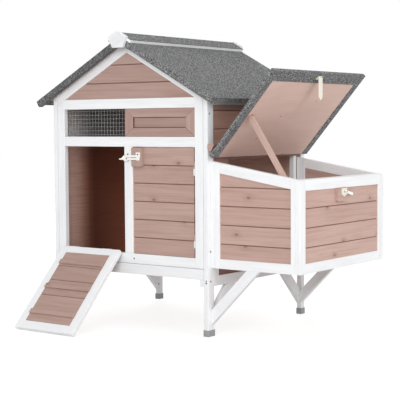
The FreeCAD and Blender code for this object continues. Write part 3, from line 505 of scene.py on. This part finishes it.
def veneer(name, base, dark):
    """Stained plywood: long open veneer figure, a few specks and a slightly uneven stain."""
    shade = Shade(name, 0.6)
    grain = shade.grain()
    figure = shade.noise(shade.scaled(grain, (0.22, 1.0, 1.0)), 13.0, 5.0, 0.6, 1.3)
    toned = shade.ramp(figure, [(0.30, scale_colour(base, 0.93)), (0.5, base),
                                (0.7, scale_colour(base, 1.05))])
    fine = shade.noise(shade.scaled(grain, (0.04, 1.0, 1.0)), 300.0, 3.0, 0.6)
    lines = shade.ramp(fine, [(0.34, grey(0.95)), (0.52, grey(1.0))])
    toned = shade.mix(0.8, toned, lines, "MULTIPLY")
    spots = shade.cells(shade.scaled(grain, (0.5, 1.0, 1.0)), 14.0, "2D")
    there = shade.step(spots.outputs["Color"], 0.58, 0.60)
    near = shade.step(spots.outputs["Distance"], 0.02, 0.05, 0.6, 0.0)
    speck = shade.math("MULTIPLY", near, there)
    shade.colour(shade.mix(speck, toned, dark))
    shade.bump(fine, 0.0003, 0.5)
    return shade.material


def mineral_felt(name, light, dark):
    """Roofing felt covered with slate grit: dark and pale grains that bunch together."""
    shade = Shade(name, 0.92)
    point = shade.place()
    grit = shade.cells(point, 520.0)
    grain = shade.node("ShaderNodeSeparateColor")
    shade.link(grit.outputs["Color"], grain.inputs[0])
    bunch = shade.noise(point, 330.0, 3.0, 0.7)
    cloud = shade.noise(point, 26.0, 3.0, 0.6)
    mixed = shade.math("ADD", shade.math("MULTIPLY", grain.outputs[0], 0.55),
                       shade.math("MULTIPLY", bunch, 0.9))
    speckle = shade.ramp(mixed, [(0.50, dark), (0.75, scale_colour(light, 0.47)), (0.98, light)])
    patch = shade.ramp(cloud, [(0.35, grey(0.93)), (0.65, grey(1.0))])
    shade.colour(shade.mix(1.0, speckle, patch, "MULTIPLY"))
    shade.bump(mixed, 0.0010, 0.9)
    return shade.material


def plain(name, colour, roughness, metallic=0.0, uneven=0.06):
    """A smooth finish that is a little uneven in colour and gloss."""
    shade = Shade(name, roughness, metallic)
    mottle = shade.noise(shade.place(), 90.0, 3.0)
    shade.colour(shade.ramp(mottle, [(0.35, scale_colour(colour, 1 - uneven)), (0.6, colour)]))
    shade.rough(shade.step(mottle, 0.3, 0.7, roughness + 0.08, roughness - 0.04))
    return shade.material


# Copies of the brown stain at several brightness levels. The tones below 1.0 are painted shade: they
# make parts darker than the nest box's end, most of all the door, gable, shutter and ramp on the house
# front under the roof's overhang.
stained = {tone: stained_wood(f"brown_stain_{int(tone * 100)}", tone)
           for tone in (0.65, 0.76, 0.80, 0.85, 0.90, 0.96, 1.0)}
# The walls' inner sides get painted light and shade by depth from the doorway; the right wall also gets
# painted shade below and above the nest box's lid.
right_wall = stained_wood("brown_stain_wall", 0.85,
                          inner_shade=[(0.1, srgb(200, 152, 134)), (0.4, srgb(150, 96, 76))],
                          painted_shade_tints=((0.62, 0.46, 0.41, 1.0), (1.16, 1.00, 0.92, 1.0)))
left_wall = stained_wood("brown_stain_left_wall", 0.96, inner_shade=[
    (0.04, srgb(220, 182, 169)), (0.10, srgb(200, 160, 146)), (0.165, srgb(158, 113, 96)),
    (0.22, srgb(116, 71, 54)), (0.28, srgb(94, 49, 33)), (1.0, srgb(150, 86, 62))])
rear_wall = stained_wood("brown_stain_rear_wall", 0.96,
                         inner_shade=[(0.1, srgb(236, 192, 175)), (1.0, srgb(236, 192, 175))])
# painted light: the lid's plywood is much lighter than the other boards, brightening its underside,
# which faces down into shade
lid_wood = veneer("veneer_lid", srgb(216, 184, 172), srgb(150, 106, 92))
board = veneer("veneer_board", srgb(170, 134, 120), srgb(110, 76, 62))
white = white_stain("white_stain")
end_grain = white_stain("white_end_block", 0.92)
felt = mineral_felt("mineral_felt", srgb(168, 168, 169), srgb(29, 30, 31))
# painted shade: the left slope's felt is darker, for the shade on that side
shaded_felt = mineral_felt("mineral_felt_left", srgb(140, 140, 141), srgb(24, 25, 26))
painted_leaf = plain("brown_painted_leaf", srgb(170, 141, 131), 0.5)
zinc = plain("zinc_plate", srgb(214, 215, 216), 0.36, 0.9)
cream = plain("pale_zinc_plate", srgb(242, 241, 237), 0.38, 0.25, 0.03)
ivory = plain("yellow_zinc_plate", srgb(231, 225, 210), 0.38, 0.25, 0.03)
wire = plain("galvanised_wire", srgb(168, 170, 172), 0.45, 0.4)
plastic = plain("grey_plastic", srgb(150, 151, 152), 0.5)
screw_steel = plain("dark_screw", srgb(92, 88, 82), 0.42, 0.8)

finish = {
    "left_wall_planks": left_wall, "right_wall_planks": right_wall, "rear_planks": rear_wall,
    "front_gable_planks": stained[0.80], "window_board": stained[0.80],
    "nest_side_planks": stained[0.96], "nest_end_planks": stained[1.0],
    "nest_latch_block": stained[0.90], "hinge_batten": stained[0.85],
    "door_planks": stained[0.85], "door_battens": stained[0.85], "door_latch_block": stained[0.76],
    "shutter_frame": stained[0.76], "shutter_panel": stained[0.65],
    "ramp_planks": stained[0.80], "ramp_cleats": stained[0.80],
    "prop_stick": stained[0.96], "prop_bracket": stained[0.90],
    "roof_deck_left": board, "roof_deck_right": board, "roof_edge_battens": board,
    "nest_floor": board, "tray_pan": board, "lid_board": lid_wood,
    "ridge_cap_end_blocks": end_grain, "foot_caps": plastic,
    "roof_felt_left": shaded_felt, "roof_felt_right": felt, "ridge_cap_felt": felt, "lid_felt": felt,
    "fixed_hinge_leaves": zinc, "ramp_hinge_leaves": zinc, "lid_hinge_leaves": zinc,
    "door_hinge_leaves": painted_leaf,
    "door_latch_plate": cream, "door_latch_bar": cream, "stile_catch_plate": cream,
    "nest_catch_lever": cream, "nest_catch_plate": ivory, "lid_hasp_plate": ivory,
    "lid_hasp_tongue": ivory,
}


def paint(piece, material):
    """Gives a piece one material and no other."""
    piece.data.materials.clear()
    piece.data.materials.append(material)


solids = {}
shown = {}
for name in sorted(nodes):
    if name in eased:
        shown[name], solids[name] = ease_node(name, nodes[name])
    else:
        shown[name] = nodes[name]
        solids[name] = dress_node(name, nodes[name])
    paint(shown[name], finish.get(name, white))


# Woven wire behind the window: pitch and radius in metres

wire_pitch, wire_radius, wire_sides, wire_steps = 0.012, 0.00042, 6, 4


def tube(points, vertices, faces):
    """Adds a round wire through points to lists of vertices and faces."""
    sides = wire_sides
    first = len(vertices)
    for index, point in enumerate(points):
        ahead = points[min(index + 1, len(points) - 1)] - points[max(index - 1, 0)]
        ahead.normalize()
        level = Vector((0.0, 1.0, 0.0)).cross(ahead).normalized()
        other = ahead.cross(level)
        for side in range(sides):
            angle = 2 * math.pi * side / sides
            vertices.append(point + (level * math.cos(angle) + other * math.sin(angle)) * wire_radius)
    for ring in range(len(points) - 1):
        for side in range(sides):
            after = (side + 1) % sides
            low = first + ring * sides
            faces.append((low + side, low + after, low + sides + after, low + sides + side))
    last = first + (len(points) - 1) * sides
    faces.append(tuple(first + side for side in reversed(range(sides))))
    faces.append(tuple(last + side for side in range(sides)))


def weave_mesh():
    """Square woven mesh: each wire goes over and under the ones that cross it."""
    low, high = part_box("window_mesh")
    pitch, steps = wire_pitch, wire_steps
    depth = (low.y + high.y) / 2
    sway = (high.y - low.y) / 2 - wire_radius
    uprights = int((high.x - low.x) / pitch) + 1
    levels = int((high.z - low.z) / pitch) + 1
    start_x = (low.x + high.x - (uprights - 1) * pitch) / 2
    start_z = (low.z + high.z - (levels - 1) * pitch) / 2
    vertices, faces = [], []
    for column in range(uprights):
        points = []
        for part in range(int((high.z - low.z) / pitch * steps) + 1):
            z = min(low.z + part * pitch / steps, high.z)
            phase = math.pi * ((z - start_z) / pitch + column)
            points.append(Vector((start_x + column * pitch, depth + sway * math.cos(phase), z)))
        tube(points, vertices, faces)
    for level in range(levels):
        points = []
        for part in range(int((high.x - low.x) / pitch * steps) + 1):
            x = min(low.x + part * pitch / steps, high.x)
            phase = math.pi * ((x - start_x) / pitch + level + 1)
            points.append(Vector((x, depth + sway * math.cos(phase), start_z + level * pitch)))
        tube(points, vertices, faces)
    mesh = bpy.data.meshes.new("woven_mesh")
    mesh.from_pydata(vertices, [], faces)
    mesh.polygons.foreach_set("use_smooth", [True] * len(mesh.polygons))
    piece = add_object("woven_mesh", mesh)
    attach(piece, "house")
    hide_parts("window_mesh")
    paint(piece, wire)


weave_mesh()

# Screw heads: radii, heights and reaches in metres, places and insets in millimetres

head_sides, head_radius, head_height, head_sunk = 12, 0.0026, 0.0007, 0.00005
plate_head_radius, leaf_head_radius = 0.0022, 0.0021
flush_head = 0.0001
outside_reach, cover_start, cover_reach = 0.4, 0.0002, 0.0015
probe_start, probe_reach, level_enough = 0.0005, 0.001, 0.99
front_screws = ((46.9, 524.3, 0.0026), (4.2, 524.5, 0.0026), (4.8, 511.6, 0.0022),
                (292.8, 155.8, 0.0026), (292.8, 162.0, 0.0020), (-292.8, 155.8, 0.0026),
                (24.0, 211.0, 0.0024))
catch_screws = ((247.0, 417.0, head_height), (257.5, 417.0, flush_head))
post_screws = ((12.1, 246.6), (9.9, 643.2), (12.0, 160.0), (517.0, 160.0))
leaf_inset, stick_inset = 9.0, 16.0


def screw_rings(radius, height):
    """Radius and height of the rings of a domed head with a round socket."""
    return [(radius, 0.0), (radius, 0.35 * height), (0.86 * radius, 0.75 * height),
            (0.58 * radius, height), (0.36 * radius, 0.96 * height), (0.30 * radius, 0.35 * height),
            (0.0, 0.30 * height)]


def add_screw(lists, point, normal, radius, height):
    """Adds a screw head on a surface."""
    vertices, faces = lists
    helper = Vector((0, 0, 1)) if abs(normal.z) < 0.9 else Vector((1, 0, 0))
    level = normal.cross(helper).normalized()
    other = normal.cross(level)
    sides = head_sides
    first = len(vertices)
    rings = screw_rings(radius, height)
    for ring, rise in rings[:-1]:
        for side in range(sides):
            angle = 2 * math.pi * side / sides
            flat = level * math.cos(angle) + other * math.sin(angle)
            vertices.append(point + flat * ring + normal * rise)
    vertices.append(point + normal * rings[-1][1])
    for row in range(len(rings) - 2):
        low = first + row * sides
        for side in range(sides):
            after = (side + 1) % sides
            faces.append((low + side, low + after, low + sides + after, low + sides + side))
    top = first + (len(rings) - 2) * sides
    for side in range(sides):
        faces.append((top + side, top + (side + 1) % sides, len(vertices) - 1))
    faces.append(tuple(first + side for side in reversed(range(sides))))


def nearest_surface(start, direction, reach):
    """Where a line first meets the shown part: the point, the normal and the piece, or None."""
    depsgraph = bpy.context.evaluated_depsgraph_get()
    hit, point, normal, _, piece, _ = bpy.context.scene.ray_cast(depsgraph, start, direction,
                                                                 distance=reach)
    return (point, normal, piece) if hit else None


heads = {}


def drive(point, normal, body, radius, height=head_height):
    """A screw head at a point of a body."""
    add_screw(heads.setdefault(body, ([], [])), point - normal * head_sunk, normal, radius, height)


def drive_from(start, direction, radius=head_radius, height=head_height):
    """A screw head where a line from outside meets the part."""
    found = nearest_surface(start, direction, outside_reach)
    if found:
        point, normal, piece = found
        owner = next(name for name, one in shown.items() if one.name == piece.name)
        drive(point, normal, read_body(owner), radius, height)


def drive_ends(name, inset, radius=head_radius):
    """Screw heads near both ends of the first broad side of each solid that nothing covers."""
    for solid in solids[name]:
        for sign in (1, -1):
            normal = solid.normal * sign
            level = solid.front if sign > 0 else -solid.back
            middle = solid.face_middle + normal * (level - solid.face_middle.dot(normal))
            if nearest_surface(middle + normal * cover_start, normal, cover_reach):
                continue
            half = (solid.end - solid.start) / 2 - inset / 1000
            centre = solid.along * ((solid.start + solid.end) / 2 - middle.dot(solid.along))
            for end in (1, -1):
                point = middle + centre + solid.along * half * end
                found = nearest_surface(point + normal * probe_start, -normal, probe_reach)
                if found and abs(found[1].dot(normal)) > level_enough:
                    drive(found[0], normal, read_body(name), radius)
            break


bpy.context.view_layer.update()
for x, z, radius in front_screws:
    drive_from(place(x, -120, z), Vector((0, 1, 0)), radius)
for y, z, height in catch_screws:
    drive_from(place(660, y, z), Vector((-1, 0, 0)), plate_head_radius, height)
for y, z in post_screws:
    drive_from(place(340, y, z), Vector((-1, 0, 0)))
for name in ("fixed_hinge_leaves", "ramp_hinge_leaves", "lid_hinge_leaves", "door_hinge_leaves"):
    drive_ends(name, leaf_inset, leaf_head_radius)
for name in ("leg_braces", "ramp_cleats", "door_battens", "tray_runners"):
    drive_ends(name, stick_inset)

for body, (vertices, faces) in sorted(heads.items()):
    mesh = bpy.data.meshes.new(body + "_screws")
    mesh.from_pydata(vertices, [], faces)
    screws = add_object(body + "_screws", mesh)
    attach(screws, body)
    paint(screws, screw_steel)

# Camera: place, direction, roll and lens fitted to the straight edges of the picture

camera_place = place(2284.24, -2712.94, 611.64)
camera_turn, camera_drop, camera_roll = math.radians(36.564), math.radians(3.659), math.radians(0.348)
camera_lens, camera_sensor = 105.93, 36.0


def set_camera():
    """The camera, which looks along its turn and drop and leans by its roll."""
    data = bpy.data.cameras.new("camera")
    data.lens = camera_lens
    data.sensor_width = camera_sensor
    camera = add_object("camera", data)
    reach = math.cos(camera_drop)
    forward = Vector((-math.sin(camera_turn) * reach, math.cos(camera_turn) * reach,
                      -math.sin(camera_drop)))
    level = Vector((math.cos(camera_turn), math.sin(camera_turn), 0.0))
    down = forward.cross(level)
    right = level * math.cos(camera_roll) + down * math.sin(camera_roll)
    up = -(down * math.cos(camera_roll) - level * math.sin(camera_roll))
    turned = Matrix((right, up, -forward)).transposed().to_4x4()
    camera.matrix_world = Matrix.Translation(camera_place) @ turned
    bpy.context.scene.camera = camera


set_camera()

# Light and ground: lamps by name, place, size in metres and power in watts

lamps = (("key", (2.2, -5.2, 2.2), 2.6, 137.0), ("side", (4.2, -0.8, 2.0), 2.2, 60.0),
         ("fill", (-3.4, 3.6, 2.6), 2.4, 110.0))
lamp_target = place(150, 250, 450)
sky_light, sky_seen = 0.62, 1.0
floor_reach, floor_level = 14.0, -0.0004
floor_grey, floor_shadow, floor_glow = 0.82, 0.33, 0.80


def area_light(name, position, size, power):
    """A square lamp that points at the house's middle."""
    data = bpy.data.lights.new(name, "AREA")
    data.shape = "SQUARE"
    data.size = size
    data.energy = power
    lamp = add_object(name, data)
    lamp.location = position
    lamp.rotation_mode = "QUATERNION"
    lamp.rotation_quaternion = (lamp_target - Vector(position)).to_track_quat("-Z", "Y")


def seen_rays(tree):
    """1 for rays that see a surface straight, in gloss or through glass."""
    path = tree.nodes.new("ShaderNodeLightPath")
    value = path.outputs["Is Camera Ray"]
    for name in ("Is Glossy Ray", "Is Transmission Ray"):
        either = tree.nodes.new("ShaderNodeMath")
        either.operation = "MAXIMUM"
        tree.links.new(value, either.inputs[0])
        tree.links.new(path.outputs[name], either.inputs[1])
        value = either.outputs["Value"]
    return value


def set_world():
    """Soft light from all round; rays that see it straight or in gloss find plain white."""
    world = bpy.data.worlds.new("studio")
    bpy.context.scene.world = world
    world.use_nodes = True
    tree = world.node_tree
    tree.nodes.clear()
    output = tree.nodes.new("ShaderNodeOutputWorld")
    mix = tree.nodes.new("ShaderNodeMixShader")
    light = tree.nodes.new("ShaderNodeBackground")
    light.inputs["Color"].default_value = grey(1.0)
    light.inputs["Strength"].default_value = sky_light
    seen = tree.nodes.new("ShaderNodeBackground")
    seen.inputs["Color"].default_value = grey(1.0)
    seen.inputs["Strength"].default_value = sky_seen
    tree.links.new(seen_rays(tree), mix.inputs["Fac"])
    tree.links.new(light.outputs["Background"], mix.inputs[1])
    tree.links.new(seen.outputs["Background"], mix.inputs[2])
    tree.links.new(mix.outputs["Shader"], output.inputs["Surface"])


def set_floor():
    """A plain white ground that keeps a faint shadow."""
    mesh = bpy.data.meshes.new("floor")
    reach = floor_reach
    corners = [(-reach, -reach, 0), (reach, -reach, 0), (reach, reach, 0), (-reach, reach, 0)]
    mesh.from_pydata(corners, [], [(0, 1, 2, 3)])
    floor = add_object("floor", mesh)
    floor.location.z = floor_level
    made, tree, output = new_material("floor_white")
    ground = tree.nodes.new("ShaderNodeBsdfDiffuse")
    ground.inputs["Color"].default_value = grey(floor_grey)
    shadow = tree.nodes.new("ShaderNodeBsdfDiffuse")
    shadow.inputs["Color"].default_value = grey(floor_shadow)
    glow = tree.nodes.new("ShaderNodeEmission")
    glow.inputs["Color"].default_value = grey(1.0)
    glow.inputs["Strength"].default_value = floor_glow
    pale = tree.nodes.new("ShaderNodeAddShader")
    tree.links.new(shadow.outputs["BSDF"], pale.inputs[0])
    tree.links.new(glow.outputs["Emission"], pale.inputs[1])
    mix = tree.nodes.new("ShaderNodeMixShader")
    tree.links.new(seen_rays(tree), mix.inputs["Fac"])
    tree.links.new(ground.outputs["BSDF"], mix.inputs[1])
    tree.links.new(pale.outputs["Shader"], mix.inputs[2])
    tree.links.new(mix.outputs["Shader"], output.inputs["Surface"])
    floor.data.materials.append(made)


set_world()
set_floor()
for lamp in lamps:
    area_light(*lamp)
bpy.context.scene.view_settings.view_transform = "Standard"
